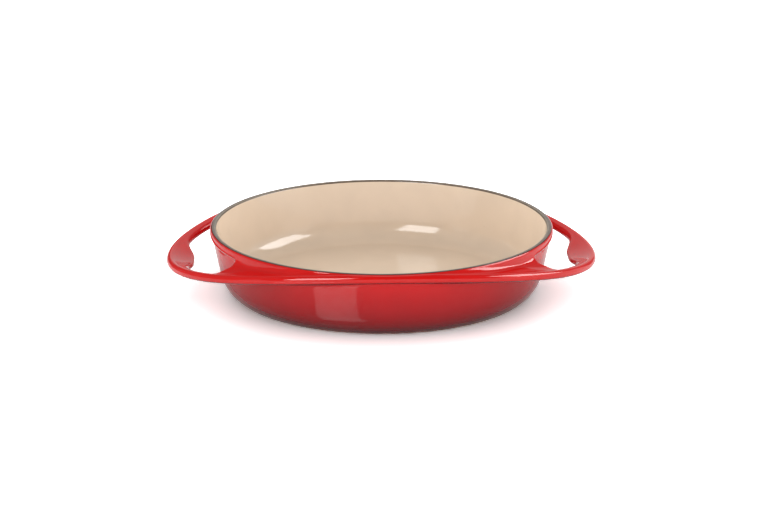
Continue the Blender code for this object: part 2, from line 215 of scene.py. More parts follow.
class DishSizes(bpy.types.PropertyGroup):
    """Sizes of the dish."""

    height: length("Height", "Foot to the top of the rim", OUTSIDE_HIGH.z)
    rim_radius: length("Rim radius", "Outside of the rim", RIM_RADIUS)
    rim_width: length("Rim width", "Inside to outside of the rim", 0.0050)
    rim_edge_inside: length("Inner rim edge", "Rounding of the rim's inner edge", 0.0019)
    rim_edge_outside: length("Outer rim edge", "Rounding of the rim's outer edge", 0.0021)
    red_border: length("Red border", "Width of the red enamel on top of the rim", 0.0014)
    wall: length("Wall", "Thickness of the wall", 0.0047)
    floor: length("Floor", "Thickness of the floor", 0.0046)
    draft: angle_of("Draft", "Lean of the wall", 12.0)
    corner_radius: length("Corner radius", "Outside rounding from the wall to the foot", 0.0250)
    corner_radius_inside: length("Inner corner radius", "Inside rounding from the floor to the wall", 0.0180)
    foot_angle: angle_of("Foot angle", "How far the corner has turned where it meets the foot", 59.0)
    foot_edge: length("Foot edge", "Rounding between the corner and the foot", 0.0009)
    collar_height: length("Collar height", "Band of thicker wall under the rim", 0.0062)
    collar_step: length("Collar step", "Height of the soft step back to the wall", 0.0013)
    belt_proud: length("Belt", "How far the belt stands out midway between the handles",
                       OUTSIDE_HIGH.y - RIM_RADIUS)
    belt_drop: length("Belt drop", "From the rim's top down to the belt's middle", 0.0036)
    belt_tilt: angle_of("Belt tilt", "Slant of the belt and the arms down to their inner edge", 5.5)
    pad_tilt: angle_of("Pad tilt", "Slant of the pads down to their inner edge", 8.3)
    outer_edge: length("Outer edge", "Rounding radius of the belt's outer edge", 0.0034)
    arm_inner_edge: length("Arms' inner edge", "Rounding radius of the arms' inner edge", 0.0030)
    pad_inner_edge: length("Pads' inner edge", "Rounding radius of the pads' inner edge", 0.0019)
    handle_reach: length("Handle reach", "Beyond the rim at the handles' tips", OUTSIDE_HIGH.x - RIM_RADIUS)
    handle_drop: length("Handle drop", "How much lower the tips lie than the belt's middle", 0.0212)
    arm_width: length("Arm width", "Width of a handle's arms", 0.0097)
    pad_width: length("Pad width", "Width of a handle where the thumb rests", 0.0214)
    pad_spread: length("Pad spread", "Half the pad's length along the handle", 0.0291)
    pad_dish: length("Pad dish", "Depth of the hollow for the thumb", 0.0010)
    window_angle: angle_of("Opening", "Half the angle that a handle's opening takes", 32.4)
    window_corner: angle_of("Opening's end", "Angle over which the opening's end rounds off", 3.4)
    web_slope: number("Web slope", "Rise of the web from the belt in to the collar", 0.15)
    web_round: length("Web rounding", "Rounding between the web and the collar", 0.0030)
    web_end: angle_of("Web's end", "How far beside an opening the web climbs to the collar's foot", 5.0)
    web_fillet: length("Web fillet", "Rounding under the belt", 0.0045)


class DishColours(bpy.types.PropertyGroup):
    """Colours of the coats and the iron."""

    red: colour("Red", "Red enamel at the rim, the belt and the handles", "#D01816")
    red_wall: colour("Wall red", "Red enamel on the wall just under the belt", "#CC1014")
    red_middle: colour("Middle red", "Red enamel halfway down the wall", "#A80E14")
    burgundy: colour("Burgundy", "Red enamel where it darkens towards the foot", "#5E0C12")
    sand: colour("Sand", "Sand-coloured enamel inside the bowl", "#E3CEB7")
    sand_speck: colour("Sand speck", "Fine specks in the sand-coloured enamel", "#CBAA88")
    grey: colour("Rim grey", "Ground coat along the rim", "#6E5D50")
    # The rim's streak is a painted highlight: a lighter band along the grey where its rounding catches the
    # light
    grey_painted_highlight: colour("Rim streak", "Ground coat where it is thickest along the rim", "#8E8270")
    seam: colour("Seam", "Dark ground coat where a colour thins out over it", "#43332B")
    foot: colour("Foot", "Ground coat under the foot", "#A67E72")
    iron: colour("Iron", "Cast iron under the coats", "#4A4A4C")


class StudioSettings(bpy.types.PropertyGroup):
    """Light of the studio."""

    overhead: number("Overhead", "Strength of the tent's light from above", 0.35)
    sides: number("Sides", "Strength of the tent's light from the sides", 2.1)
    softboxes: number("Softboxes", "How much the softboxes light, in W/m2/sr", 0.18)
    backdrop: number("Backdrop", "How much the lit backdrop adds, in W/m2/sr", 1.15)
    panels: number("Panels", "How bright the softboxes' faces look, white being 1", 8.0)
    distance: length("Lamp distance", "From the dish to the softboxes", 1.3)
    # Brightening the floor less beside the foot than away from it paints a shadow round the dish
    paper_near: number("Near paper", "How much brighter the floor looks than it lights, beside the foot", 1.4)
    paper_away: number("Paper", "The same away from the dish", 2.1)
    paper_mirrored: number("Mirrored paper", "The same where a mirror or glass shows it", 1.05)
    gloss: number("Floor gloss", "How much of the softboxes the floor mirrors", 0.11)


class DishForm:
    """Sections of the dish through its axis, as points of (radius, height), and the cage lofted from them."""

    def __init__(self, sizes):
        self.sizes = sizes

    def wall_inside(self, z):
        """Radius of the wall's inner face at a height."""
        s = self.sizes
        return s.rim_radius - s.rim_width - (s.height - z) * math.tan(s.draft)

    def wall_outside(self, z):
        """Radius of the wall's outer face at a height."""
        return self.wall_inside(z) + self.sizes.wall / math.cos(self.sizes.draft)

    def seam_turn(self):
        """Where the red coat begins on the rim's outer rounding."""
        s = self.sizes
        return math.acos(1 - s.red_border / s.rim_edge_outside)

    def inside_rows(self):
        """From the middle of the floor to the rim's outer rounding, with the coat that follows each row."""
        s = self.sizes
        radius = s.corner_radius_inside
        middle = s.floor + radius
        centre = (self.wall_inside(middle) - radius / math.cos(s.draft), middle)
        rows = [((centre[0] * ring / FLOOR_RINGS, s.floor), "inside") for ring in range(FLOOR_RINGS)]
        for step in range(ARC_ROWS + 1):
            turn = -math.pi / 2 + (math.pi / 2 - s.draft) * step / ARC_ROWS
            rows.append((on_circle(centre, radius, turn), "inside"))
        lip = (s.rim_radius - s.rim_width + s.rim_edge_inside, s.height - s.rim_edge_inside)
        low = rows[-1][0]
        high = on_circle(lip, s.rim_edge_inside, math.pi)
        rows += [(mix(low, high, ring / WALL_RINGS), "inside") for ring in range(1, WALL_RINGS)]
        rows += [(on_circle(lip, s.rim_edge_inside, math.radians(turn)), "inside") for turn in LIP_TURNS]
        rows[-1] = (rows[-1][0], "rim")
        rows += [(on_circle(lip, s.rim_edge_inside, math.radians(turn)), "rim") for turn in LIP_TURNS_GREY]
        rows += [
            ((s.rim_radius - s.rim_edge_outside, s.height), "rim"),
            (self.on_rim(self.seam_turn()), "outside"),
        ]
        return rows

    def foot_rows(self):
        """From the wall round the outside corner and in to the axis, with the coat that follows each row."""
        s = self.sizes
        radius = s.corner_radius
        middle = radius * math.sin(s.foot_angle)
        centre = (self.wall_outside(middle) - radius / math.cos(s.draft), middle)
        border = s.foot_angle - BORDER_ABOVE_FOOT * s.foot_edge / radius
        rows = []
        for step in range(ARC_ROWS + 1):
            turn = s.draft + (border - s.draft) * step / ARC_ROWS
            rows.append((on_circle(centre, radius, -turn), "outside"))
        rows[-1] = (rows[-1][0], "foot")
        edge = on_circle(centre, radius, -s.foot_angle)
        near = on_circle(centre, radius, -(border + s.foot_angle) / 2)
        inward, upward = FOOT_EDGE_TURN
        turned = (edge[0] - s.foot_edge * inward, s.foot_edge * upward)
        flat = edge[0] - s.foot_edge
        rows += [(near, "foot"), (turned, "foot"), ((flat, 0.0), "foot")]
        rows += [((flat * (1 - ring / FLOOR_RINGS), 0.0), "foot") for ring in range(1, FLOOR_RINGS + 1)]
        return rows

    def belt_at(self, angle):
        """The belt in the upright section at this angle: its outer centre, slant, width and dish."""
        s = self.sizes
        across = s.rim_radius + s.handle_reach
        along = s.rim_radius + s.belt_proud
        reach = 1 / math.hypot(math.cos(angle) / across, math.sin(angle) / along)
        x = reach * math.cos(angle)
        y = reach * math.sin(angle)
        slant = reach * math.hypot(x / across**2, y / along**2)
        height = s.height - s.belt_drop - s.handle_drop * (x / across) ** 2
        pad = math.exp(-((y / s.pad_spread) ** PAD_FALL))
        return {
            "centre": (reach - s.outer_edge * slant, height),
            "slant": slant,
            "width": s.arm_width + (s.pad_width - s.arm_width) * pad,
            "inner_edge": s.arm_inner_edge + (s.pad_inner_edge - s.arm_inner_edge) * pad,
            "tilt": s.belt_tilt + (s.pad_tilt - s.belt_tilt) * pad,
            "dish": s.pad_dish * pad,
        }

    def outer_edge(self, belt, top_angle):
        """The belt's rounded outer edge, from its top round to its underside."""
        edge = []
        for step in range(EDGE_ROWS + 1):
            turn = top_angle + (-math.pi / 2 - top_angle) * step / EDGE_ROWS
            r, z = on_circle((0, 0), self.sizes.outer_edge, turn)
            edge.append((belt["centre"][0] + r * belt["slant"], belt["centre"][1] + z))
        return edge

    def on_rim(self, turn):
        """A point of the rim's outer rounding."""
        s = self.sizes
        radius = s.rim_edge_outside
        return on_circle((s.rim_radius - radius, s.height - radius), radius, turn)

    def shoulder(self, lowest_turn):
        """Rows down the rim's outer rounding, above where the collar or the sweep takes over."""
        seam = self.seam_turn()
        return [self.on_rim(seam + (lowest_turn - seam) * k / (SHOULDER_ROWS + 1))
                for k in range(1, SHOULDER_ROWS + 1)]

    def solid_section(self, angle):
        """Rows where the belt is one with the wall: the collar and sweep, the belt, the fillet below."""
        s = self.sizes
        belt = self.belt_at(angle)
        r, z = belt["centre"]
        # The sweep starts as high as the web rises, and beside an opening it climbs to the collar's foot
        collar_low = s.height - s.collar_height + s.collar_step
        rim_shoulder = s.height - s.rim_edge_outside
        reach = r + s.outer_edge * belt["slant"] - s.rim_radius
        meets = z + s.outer_edge - max(0.0, r - s.rim_radius) * math.tan(s.belt_tilt)
        highest = s.height - SWEEP_START * s.rim_edge_outside
        start_z = min(highest, meets + s.web_slope * reach + s.web_round)
        beside = math.exp(-((max(0.0, angle - s.window_angle) / s.web_end) ** 2))
        start_z += max(0.0, collar_low - start_z) * beside
        turn = math.asin(max(0.0, start_z - rim_shoulder) / s.rim_edge_outside)
        start = (self.on_rim(turn)[0], start_z)
        # The belt's top begins further out where the sweep would be narrower than its least width
        clear = start[0] + LEAST_SWEEP - r
        lean = max(-s.belt_tilt, math.asin(max(-1.0, clear / s.outer_edge / belt["slant"])))
        edge = self.outer_edge(belt, math.pi / 2 - lean)
        end = edge[0]
        drop = max(0.0, start[1] - end[1])
        pull = SWEEP_PULL * (end[0] - start[0])
        fall = min(s.web_round, SWEEP_FALL * drop)
        start_handle = (start[0] + pull * math.sin(turn), start[1] - fall * math.cos(turn))
        end_handle = (end[0] - pull * math.cos(lean), end[1] + pull * math.sin(lean))
        sweep = [bezier(start, start_handle, end_handle, end, share) for share in SWEEP_SHARES]
        # The fillet from the belt's underside to the wall
        under = edge[-1]
        fillet = min(s.web_fillet, FILLET_SHARE * (under[1] - s.corner_radius * math.sin(s.foot_angle)))
        low = (self.wall_outside(under[1] - fillet), under[1] - fillet)
        corner = (self.wall_outside(under[1]), under[1])
        handles = (mix(under, corner, FILLET_PULL), mix(low, corner, FILLET_PULL))
        hollow = [bezier(under, *handles, low, share) for share in FILLET_SHARES]
        # Where an opening ends at this section, the wall and the handle's nose meet in the end's rows
        top, bottom = sweep[SWEEP_SPLIT], hollow[FILLET_SPLIT]
        return {
            "upper": [*self.shoulder(turn), start, *sweep[:SWEEP_SPLIT + 1]],
            "belt": [*sweep[SWEEP_SPLIT:], *edge, *hollow[:FILLET_SPLIT + 1]],
            "lower": [*hollow[FILLET_SPLIT:], low],
            "end": [mix(top, bottom, k / (END_ROWS + 1)) for k in range(1, END_ROWS + 1)],
        }

    def open_section(self, angle):
        """Rows across a handle's opening: the plain collar and wall, and the handle's own closed section."""
        s = self.sizes
        belt = self.belt_at(angle)
        r, z = belt["centre"]
        edge = self.outer_edge(belt, math.pi / 2 + belt["tilt"])
        # The inner edge, round the nose from the top to the underside
        run = belt["width"] - s.outer_edge - belt["inner_edge"]
        inner = (r - run * belt["slant"], z - run * math.tan(belt["tilt"]))
        nose = []
        for k in range(END_ROWS + 2):
            turn = math.pi / 2 + belt["tilt"] + (math.pi - belt["tilt"]) * k / (END_ROWS + 1)
            nr, nz = on_circle((0, 0), belt["inner_edge"], turn)
            nose.append((inner[0] + nr * belt["slant"], inner[1] + nz))
        # The top dips in a parabola, deepest in the middle
        across = len(SWEEP_SHARES) - SWEEP_SPLIT
        top = []
        for k in range(across):
            tr, tz = mix(nose[0], edge[0], k / across)
            top.append((tr, tz - belt["dish"] * 4 * (k / across) * (1 - k / across)))
        below = [mix(edge[-1], nose[-1], k / (FILLET_SPLIT + 1)) for k in range(1, FILLET_SPLIT + 2)]
        # The wall beside the opening, with the collar's soft step
        step_top = s.height - s.collar_height + s.collar_step
        step_low = s.height - s.collar_height
        end_z = self.belt_at(s.window_angle)["centre"][1] - s.outer_edge - s.web_fillet
        above = SWEEP_SPLIT - 1
        rows = above + END_ROWS + len(FILLET_SHARES) - FILLET_SPLIT + 1
        heights = [step_low + (end_z - step_low) * k / rows for k in range(rows + 1)]
        wall = [(self.wall_outside(h), h) for h in heights]
        step_in = mix((s.rim_radius, 0), wall[0], STEP_PLACE)[0]
        step = (step_in + STEP_SWELL * s.collar_step, (step_top + step_low) / 2)
        return {
            "upper": [*self.shoulder(0.0), (s.rim_radius, step_top), step, *wall[:above + 1]],
            "wall": wall[above + 1:above + END_ROWS + 1],
            "lower": wall[above + END_ROWS + 1:],
            "belt": [*top, *edge, *below],
            "nose": nose[1:-1],
        }

    def section(self, angle):
        """All the rows at one angle round the axis, folded into the first quarter."""
        s = self.sizes
        folded = abs(math.remainder(angle, math.pi))
        if folded >= s.window_angle - ON_EDGE:
            rows = self.solid_section(folded)
            rows["solid"] = True
            return rows
        rows = self.open_section(folded)
        rows["solid"] = False
        share = (s.window_angle - folded) / s.window_corner
        if share < 1:
            opened = math.sqrt(1 - (1 - share) ** 2)
            solid = self.solid_section(folded)
            for name in ("upper", "lower", "belt"):
                rows[name] = [mix(p, q, opened) for p, q in zip(solid[name], rows[name])]
            for name in ("wall", "nose"):
                rows[name] = [mix(p, q, opened) for p, q in zip(solid["end"], rows[name])]
        return rows

    def section_angles(self):
        """Close together at the ends of the handles' openings, further apart elsewhere."""
        s = self.sizes
        pad = math.asin(s.pad_spread / (s.rim_radius + s.handle_reach))
        quarter = [pad * share for share in PAD_SECTIONS]
        straight = s.window_angle - s.window_corner
        quarter += [mix((quarter[-1],), (straight,), k / ARM_SECTIONS)[0] for k in range(1, ARM_SECTIONS)]
        quarter += [s.window_angle - s.window_corner * (1 - k / CORNER_SECTIONS) ** CORNER_CROWDING
                    for k in range(CORNER_SECTIONS + 1)]
        rest = math.pi / 2 - s.window_angle
        quarter += [s.window_angle + rest * (k / WEB_SECTIONS) ** WEB_CROWDING
                    for k in range(1, WEB_SECTIONS + 1)]
        half = quarter + [math.pi - angle for angle in reversed(quarter[1:-1])]
        return half + [math.pi + angle for angle in half]

    def cage(self):
        """The lofted quads: points, faces and the number of each face's coat, with triangles at the poles."""
        points = []
        faces = []
        coats = []
        poles = {}

        def place(angle, row):
            r, z = row
            if r > 0:
                points.append((r * math.cos(angle), r * math.sin(angle), z))
                return len(points) - 1
            if z not in poles:
                points.append((0.0, 0.0, z))
                poles[z] = len(points) - 1
            return poles[z]

        def strip(left, right, coat):
            for a, b, c, d in zip(left, left[1:], right[1:], right):
                corners = list(dict.fromkeys((a, b, c, d)))
                faces.append(corners)
                coats.append(COATS.index(coat))

        inside = self.inside_rows()
        foot = self.foot_rows()
        sections = []
        for angle in self.section_angles():
            rows = self.section(angle)
            placed = {name: [place(angle, row) for row in rows[name]] for name in ("upper", "lower")}
            placed["inside"] = [place(angle, row) for row, coat in inside]
            placed["foot"] = [place(angle, row) for row, coat in foot]
            belt = [place(angle, row) for row in rows["belt"][1:-1]]
            placed["solid"] = rows["solid"]
            if rows["solid"]:
                placed["belt"] = [placed["upper"][-1], *belt, placed["lower"][0]]
                placed["end"] = (angle, rows["end"])
            else:
                first, last = (place(angle, rows["belt"][k]) for k in (0, -1))
                placed["belt"] = [first, *belt, last]
                placed["wall"] = [place(angle, row) for row in rows["wall"]]
                placed["nose"] = [place(angle, row) for row in rows["nose"]]
            sections.append(placed)
        # Where a solid section meets an open one, its end is shared by the wall and the handle's nose
        for left, right in zip(sections, sections[1:] + sections[:1]):
            for this, other in ((left, right), (right, left)):
                if this["solid"] and not other["solid"]:
                    angle, end = this["end"]
                    this["wall"] = this["nose"] = [place(angle, row) for row in end]
            for k, (_, coat) in enumerate(inside[:-1]):
                strip(left["inside"][k:k + 2], right["inside"][k:k + 2], coat)
            strip(left["inside"][-1:] + left["upper"], right["inside"][-1:] + right["upper"], "outside")
            strip(left["belt"], right["belt"], "outside")
            strip(left["lower"] + left["foot"][:1], right["lower"] + right["foot"][:1], "outside")
            for k, (_, coat) in enumerate(foot[:-1]):
                strip(left["foot"][k:k + 2], right["foot"][k:k + 2], coat)
            if not (left["solid"] and right["solid"]):
                walls = [[s["upper"][-1], *s["wall"], s["lower"][0]] for s in (left, right)]
                noses = [[s["belt"][-1], *reversed(s["nose"]), s["belt"][0]] for s in (left, right)]
                strip(walls[0], walls[1], "outside")
                strip(noses[0], noses[1], "outside")
        return points, faces, coats


def skin_mesh(sizes):
    """Makes the whole skin of the dish, subdivided, with its coats as a number on each face."""
    points, faces, coats = DishForm(sizes).cage()
    cage = bpy.data.meshes.new("dish_cage")
    cage.from_pydata(points, [], faces)
    cage.attributes.new("coat", "INT", "FACE").data.foreach_set("value", coats)
    holder = bpy.data.objects.new("dish_cage", cage)
    bpy.context.scene.collection.objects.link(holder)
    smooth = holder.modifiers.new("Subdivision", "SUBSURF")
    smooth.levels = smooth.render_levels = SUBDIVISIONS
    bpy.context.view_layer.update()
    graph = bpy.context.evaluated_depsgraph_get()
    skin = bpy.data.meshes.new_from_object(holder.evaluated_get(graph))
    skin.name = SKIN
    bpy.data.objects.remove(holder, do_unlink=True)
    bpy.data.meshes.remove(cage)


def peel(name, coats, depth, thickness):
    """A closed piece of the skin's faces under these coats, sunk by a depth, with a thickness or solid."""
    skin = bpy.data.meshes.get(SKIN)
    if skin is None:
        raise RuntimeError("the dish's skin isn't formed yet")
    places = np.empty(len(skin.vertices) * 3)
    normals = np.empty(len(skin.vertices) * 3)
    numbers = np.empty(len(skin.polygons), dtype=int)
    skin.vertices.foreach_get("co", places)
    skin.vertices.foreach_get("normal", normals)
    skin.attributes["coat"].data.foreach_get("value", numbers)
    places = places.reshape(-1, 3)
    normals = normals.reshape(-1, 3)
    wanted = [COATS.index(coat) for coat in coats]
    kept = [tuple(face.vertices) for face, number in zip(skin.polygons, numbers) if number in wanted]
    used = sorted({corner for face in kept for corner in face})
    index = {corner: place for place, corner in enumerate(used)}
    outer = places[used] - normals[used] * depth
    faces = [tuple(index[corner] for corner in face) for face in kept]
    points = outer
    if thickness:
        count = len(used)
        points = np.vstack([outer, outer - normals[used] * thickness])
        sides = {(a, b) for face in faces for a, b in zip(face, face[1:] + face[:1])}
        walls = [(b, a, a + count, b + count) for a, b in sides if (b, a) not in sides]
        faces += [tuple(corner + count for corner in reversed(face)) for face in faces] + sorted(walls)
    mesh = bpy.data.meshes.new(name)
    mesh.from_pydata(points.tolist(), [], faces)
    mesh.shade_smooth()
    mesh.set_sharp_from_angle(angle=SHARP_ANGLE)
    piece = bpy.data.objects.new(name, mesh)
    bpy.context.scene.collection.objects.link(piece)
    return piece


def finish_piece(piece, node, finish):
    """Gives a piece its material, hangs it on the root and hides the imported node that it stands in for."""
    piece.data.materials.append(finish)
    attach(piece, "root")
    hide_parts(node)


def put(tree, node, inputs):
    """Gives a node's inputs values or links. A node in a value's place stands for its first open output."""
    for socket, value in inputs.items():
        if isinstance(value, bpy.types.Node):
            value = next(output for output in value.outputs if output.enabled)
        if isinstance(value, bpy.types.NodeSocket):
            tree.links.new(value, node.inputs[socket])
        else:
            node.inputs[socket].default_value = value


def add(tree, kind, inputs, **settings):
    """Adds a node with its settings, values and links."""
    node = tree.nodes.new(kind)
    for name, value in settings.items():
        setattr(node, name, value)
    put(tree, node, inputs)
    return node


def new_material(name):
    """A material with its node tree and its shader."""
    made = bpy.data.materials.new(name)
    made.use_nodes = True
    return made, made.node_tree, made.node_tree.nodes["Principled BSDF"]


def surface_place(tree):
    """Where each point of a surface lies, in metres from the middle of the foot."""
    return add(tree, "ShaderNodeTexCoord", {}).outputs["Object"]


def height_at(tree, place):
    """Height above the foot."""
    return add(tree, "ShaderNodeSeparateXYZ", {0: place}).outputs["Z"]


def radius_at(tree, place):
    """Distance from the dish's axis."""
    level = add(tree, "ShaderNodeVectorMath", {0: place, 1: (1.0, 1.0, 0.0)}, operation="MULTIPLY")
    return add(tree, "ShaderNodeVectorMath", {0: level}, operation="LENGTH")


def repeats(millimetres):
    """Scale of a pattern whose features have this real size."""
    return 1000 / millimetres


def grows(value, start, stretch):
    """Settings for a share that grows with a value over a stretch, which is given from a start."""
    return {"Value": value, "From Min": start + stretch[0], "From Max": start + stretch[1]}


def clouded(tree, place, base, size, depth):
    """The base colour made up to a depth darker in soft patches of a size in millimetres."""
    patches = add(tree, "ShaderNodeTexNoise",
                  {"Vector": place, "Scale": repeats(size), "Detail": 2.0, "Roughness": 0.5})
    share = add(tree, "ShaderNodeMapRange", grows(patches, 0.0, CLOUD), interpolation_type="SMOOTHSTEP")
    return add(tree, "ShaderNodeMix", {"Factor": share, "A": base, "B": (*[1 - depth] * 3, 1)},
               data_type="RGBA", blend_type="MULTIPLY")


def specked(tree, place, base, speck, size, cover):
    """Specks on the base colour, of a size in millimetres, more of them for a larger cover."""
    grains = add(tree, "ShaderNodeTexNoise",
                 {"Vector": place, "Scale": repeats(size), "Detail": 1.0, "Roughness": 0.4})
    share = add(tree, "ShaderNodeMapRange", grows(grains, -cover, SPECK), interpolation_type="SMOOTHSTEP")
    return add(tree, "ShaderNodeMix", {"Factor": share, "A": base, "B": (*speck, 1)}, data_type="RGBA")


def glazed(tree, shader, place, wave, depth, roughness):
    """Glass that flowed as it fused: waves of a length and depth in millimetres, and an uneven gloss."""
    waves = add(tree, "ShaderNodeTexNoise",
                {"Vector": place, "Scale": repeats(wave), "Detail": 1.5, "Roughness": 0.35})
    haze = add(tree, "ShaderNodeTexNoise", {"Vector": place, "Scale": repeats(wave * 2), "Detail": 3.0})
    uneven = add(tree, "ShaderNodeMapRange",
                 {**grows(haze, 0.0, HAZE), "To Min": HAZE_GLOSS[0], "To Max": HAZE_GLOSS[1]})
    put(tree, shader, {
        "Normal": add(tree, "ShaderNodeBump", {"Distance": depth / 1000, "Height": waves}),
        "Roughness": add(tree, "ShaderNodeMath", {0: uneven, 1: roughness}, operation="MULTIPLY"),
        "IOR": GLASS_IOR,
    })


def grainy(tree, shader, place, size, depth, roughness):
    """A dull skin with grains of a size and depth in millimetres."""
    grains = add(tree, "ShaderNodeTexNoise",
                 {"Vector": place, "Scale": repeats(size), "Detail": 3.0, "Roughness": 0.6})
    put(tree, shader, {
        "Normal": add(tree, "ShaderNodeBump", {"Distance": depth / 1000, "Height": grains}),
        "Roughness": roughness,
    })


def red_enamel(sizes, colours):
    """Red glass sprayed over a dark ground coat and fired."""
    # To the eye it is wet: mirror-sharp highlights over a deep red with hardly any texture. The spray is
    # thick at the rim and the handles and thins to burgundy towards the foot.
    made, tree, shader = new_material("Red vitreous enamel, sprayed and fired")
    place = surface_place(tree)
    radius = radius_at(tree, place)
    height = height_at(tree, place)
    up = add(tree, "ShaderNodeMapRange", grows(height, 0.0, (0.0, WALL_FADE_TOP)))
    wall = add(tree, "ShaderNodeValToRGB", {"Fac": up})
    wall.color_ramp.elements[0].color = (*colours.burgundy, 1)
    wall.color_ramp.elements[1].color = (*colours.red_wall, 1)
    wall.color_ramp.elements.new(WALL_FADE_MIDDLE).color = (*colours.red_middle, 1)
    on_belt = add(tree, "ShaderNodeMapRange", grows(radius, sizes.rim_radius, BELT_FADE),
                  interpolation_type="SMOOTHSTEP")
    red = add(tree, "ShaderNodeMix", {"Factor": on_belt, "A": wall, "B": (*colours.red, 1)}, data_type="RGBA")
    # Painted shade: what faces the table is darkened towards burgundy
    facing = add(tree, "ShaderNodeNewGeometry", {}).outputs["Normal"]
    upward = add(tree, "ShaderNodeSeparateXYZ", {0: facing}).outputs["Z"]
    under = add(tree, "ShaderNodeMapRange", {**grows(upward, 0.0, UNDERSIDE_PAINTED_SHADE), "To Min": 1.0, "To Max": 0.0},
                interpolation_type="SMOOTHSTEP")
    red = add(tree, "ShaderNodeMix", {"Factor": under, "A": red, "B": (*colours.burgundy, 1)},
              data_type="RGBA")
    red = clouded(tree, place, red, size=28.0, depth=0.05)
    # The real specks are too fine to show, so they are drawn about as coarse as a pixel of the picture
    red = specked(tree, place, red, colours.burgundy, size=0.7, cover=0.0)
    # The last half millimetre beside the grey band is thin, and the dark ground coat shows through it
    seam = sizes.rim_radius - sizes.red_border
    beside = add(tree, "ShaderNodeMapRange", {**grows(radius, seam, RED_THINS), "To Min": 1.0, "To Max": 0.0},
                 interpolation_type="SMOOTHSTEP")
    on_top = add(tree, "ShaderNodeMapRange", grows(height, sizes.height, RED_THINS_TOP),
                 interpolation_type="SMOOTHSTEP")
    thin = add(tree, "ShaderNodeMath", {0: beside, 1: on_top}, operation="MULTIPLY")
    red = add(tree, "ShaderNodeMix", {"Factor": thin, "A": red, "B": (*colours.seam, 1)}, data_type="RGBA")
    put(tree, shader, {"Base Color": red})
    glazed(tree, shader, place, wave=11.0, depth=0.04, roughness=0.07)
    return made


def sand_enamel(sizes, colours):
    """Sand-coloured glass sprayed and fired inside the bowl."""
    # To the eye it is opaque and glossy, but softer than the red, because the light between its own walls
    # fills it. Faint clouds and a few fine specks keep it from looking like plastic.
    made, tree, shader = new_material("Sand vitreous enamel, sprayed and fired")
    place = surface_place(tree)
    height = height_at(tree, place)
    sand = clouded(tree, place, (*colours.sand, 1), size=24.0, depth=0.03)
    # The real specks are too fine to show, so they are drawn about as coarse as a pixel of the picture
    sand = specked(tree, place, sand, colours.sand_speck, size=0.8, cover=0.02)
    # It darkens where it thins out over the rim's inner edge
    thin = add(tree, "ShaderNodeMapRange", grows(height, sizes.height, SAND_THINS),
               interpolation_type="SMOOTHSTEP")
    sand = add(tree, "ShaderNodeMix", {"Factor": thin, "A": sand, "B": (*colours.seam, 1)}, data_type="RGBA")
    put(tree, shader, {"Base Color": sand})
    # The flat bottom comes out of the kiln a little duller than the walls
    roughness = add(tree, "ShaderNodeMapRange",
                    {**grows(height, sizes.floor, SAND_GLOSS_GROWS),
                     "To Min": BOTTOM_ROUGHNESS, "To Max": SAND_ROUGHNESS})
    glazed(tree, shader, place, wave=14.0, depth=0.04, roughness=roughness)
    return made


def rim_ground_coat(sizes, colours):
    """Dark ground coat, wiped clean of the colours along the rim and fired."""
    # To the eye it has a dull satin gleam and a fine speckle, with darker edges where the colours overlap it,
    # and a lighter band along its middle that is a painted highlight
    made, tree, shader = new_material("Grey ground coat, wiped along the rim")
    place = surface_place(tree)
    radius = radius_at(tree, place)
    edges = (-sizes.rim_width, -sizes.red_border)
    across = add(tree, "ShaderNodeMapRange", grows(radius, sizes.rim_radius, edges))
    band = add(tree, "ShaderNodeValToRGB", {"Fac": across})
    for end in band.color_ramp.elements:
        end.color = (*colours.seam, 1)
    # The lighter band in the middle of the grey is a painted highlight
    shades = (colours.grey, colours.grey_painted_highlight, colours.grey_painted_highlight, colours.grey, colours.grey)
    for at, shade in zip(RIM_STOPS, shades):
        band.color_ramp.elements.new(at).color = (*shade, 1)
    grey = clouded(tree, place, band, size=7.0, depth=0.18)
    # Its grit is about a tenth of a millimetre, too fine to show, so specks and grains are drawn coarser
    grey = specked(tree, place, grey, colours.seam, size=0.6, cover=0.12)
    put(tree, shader, {"Base Color": grey, "IOR": GLASS_IOR})
    grainy(tree, shader, place, size=0.8, depth=0.02, roughness=0.3)
    return made


def foot_ground_coat(colours):
    """Ground coat under the foot, fired without a colour over it."""
    # To the eye it is matt, rough and grey-brown, with darker patches where it was set down in the kiln
    made, tree, shader = new_material("Grey-brown ground coat under the foot, matt")
    place = surface_place(tree)
    ground = clouded(tree, place, (*colours.foot, 1), size=18.0, depth=0.2)
    ground = clouded(tree, place, ground, size=3.0, depth=0.1)
    # Its grit is drawn coarser here as well
    ground = specked(tree, place, ground, colours.seam, size=0.9, cover=0.08)
    put(tree, shader, {"Base Color": ground, "IOR": GLASS_IOR})
    grainy(tree, shader, place, size=1.2, depth=0.06, roughness=0.55)
    return made


def cast_iron(colours):
    """Grey iron poured in a sand mould. The coats hide it."""
    # To the eye it is dark, dull and pitted by grains of sand
    made, tree, shader = new_material("Grey cast iron, sand cast")
    place = surface_place(tree)
    iron = clouded(tree, place, (*colours.iron, 1), size=6.0, depth=0.25)
    put(tree, shader, {"Base Color": iron, "Metallic": 1.0})
    # A grain of the sand is about 0.3 mm, too fine to show, so it is drawn coarser
    grainy(tree, shader, place, size=0.7, depth=0.08, roughness=0.6)
    return made


def toward(azimuth, elevation):
    """Level direction to the right of the camera's by an azimuth, raised by an elevation, in degrees."""
    turn = math.radians(azimuth) - CAMERA_TURN
    rise = math.radians(elevation)
    return Vector((math.sin(turn) * math.cos(rise), -math.cos(turn) * math.cos(rise), math.sin(rise)))


